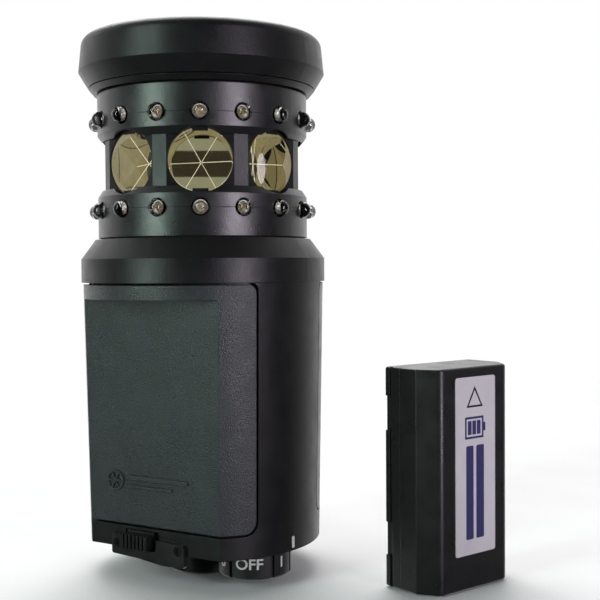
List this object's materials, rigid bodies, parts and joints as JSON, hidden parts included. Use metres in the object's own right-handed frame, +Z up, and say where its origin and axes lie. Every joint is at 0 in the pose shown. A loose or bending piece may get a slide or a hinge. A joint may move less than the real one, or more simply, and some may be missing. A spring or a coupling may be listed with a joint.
{
  "type": "survey prism",
  "caption": "Active all-round survey prism target: ring of corner cubes between rings of diodes on a battery body with pole socket, with its battery pack beside it.",
  "frame": {"origin": "centre of the pole socket's mouth, which is the lowest point of the instrument", "axes": "+Z up along the pole socket and the prism ring's axis, -Y towards the battery door's flat, +X to the door's right seen from outside"},
  "size_m": [0.1378, 0.086, 0.1801],
  "materials": {
    "black_housing": "fine grained black moulding",
    "black_clips": "black moulding",
    "grey_covers": "coarse textured dark grey moulding",
    "seals": "matte rubber",
    "prism_glass": "coated optical glass",
    "clear_diodes": "clear moulded epoxy",
    "circuit_boards": "green solder mask",
    "board_components": "black moulded packages",
    "dark_screws": "blackened steel",
    "steel": "bright steel",
    "pole_socket": "black anodised",
    "white_mark": "white inlay",
    "latch_black": "black moulding",
    "knob_black": "black moulding",
    "bay_black": "black moulding",
    "aluminium_tube": "drawn tube",
    "contacts": "gold plated",
    "battery_case": "smooth black moulding",
    "battery_label": "printed pale label",
    "battery_cells": "wrapped round cells, with the density of a lithium cell"
  },
  "bodies": {
    "instrument": {"main_housing": "black_housing", "index_mark": "white_mark", "rear_cover": "grey_covers", "rear_cover_screws": "dark_screws", "door_hinge_pin": "steel", "base_plate": "black_housing", "base_screws": "dark_screws", "pole_socket": "pole_socket", "rotary_switch": "board_components", "latch_plate": "latch_black", "latch_screws": "dark_screws", "battery_bay": "bay_black", "bay_contacts": "contacts", "main_board": "circuit_boards", "board_components": "board_components", "shoulder_seal": "seals", "lower_led_housing": "black_housing", "lower_led_cover": "black_housing", "lower_led_board": "circuit_boards", "lower_leds": "clear_diodes", "lower_prism_clips": "black_clips", "prism_cage": "black_housing", "cap_seal": "seals", "upper_led_housing": "black_housing", "upper_led_cover": "black_housing", "upper_led_board": "circuit_boards", "upper_leds": "clear_diodes", "upper_prism_clips": "black_clips", "centre_tube": "aluminium_tube", "tie_rods": "steel", "tie_nuts": "dark_screws", "cap_collar": "black_housing", "top_cap": "black_housing", "cap_screws": "dark_screws", "prism_1": "prism_glass", "prism_2": "prism_glass", "prism_3": "prism_glass", "prism_4": "prism_glass", "prism_5": "prism_glass", "prism_6": "prism_glass", "prism_7": "prism_glass", "prism_8": "prism_glass"},
    "battery_door": {"battery_door": "grey_covers", "door_seal": "seals"},
    "latch": {"latch_slider": "latch_black"},
    "selector": {"selector_knob": "knob_black", "switch_shaft": "steel", "knob_screw": "dark_screws"},
    "battery_pack": {"battery_case_front": "battery_case", "battery_case_back": "battery_case", "battery_contacts": "contacts", "battery_label": "battery_label", "battery_cells": "battery_cells"}
  },
  "joints": [
    {"name": "door_hinge", "type": "hinge", "parent": "instrument", "child": "battery_door", "pos_m": [-0.03402, -0.01824, 0], "axis": [0, 0, -1], "range_deg": [0, 95]},
    {"name": "latch_slide", "type": "slide", "parent": "instrument", "child": "latch", "axis": [1, 0, 0], "range_m": [0, 0.002]},
    {"name": "selector_turn", "type": "hinge", "parent": "instrument", "child": "selector", "pos_m": [0.02461, -0.00706, 0], "axis": [0, 0, 1], "range_deg": [-257.14, 51.43]},
    {"name": "battery_lift", "type": "slide", "parent": "instrument", "child": "battery_pack", "axis": [0, 0, 1], "range_m": [0, 0.08]}
  ]
}
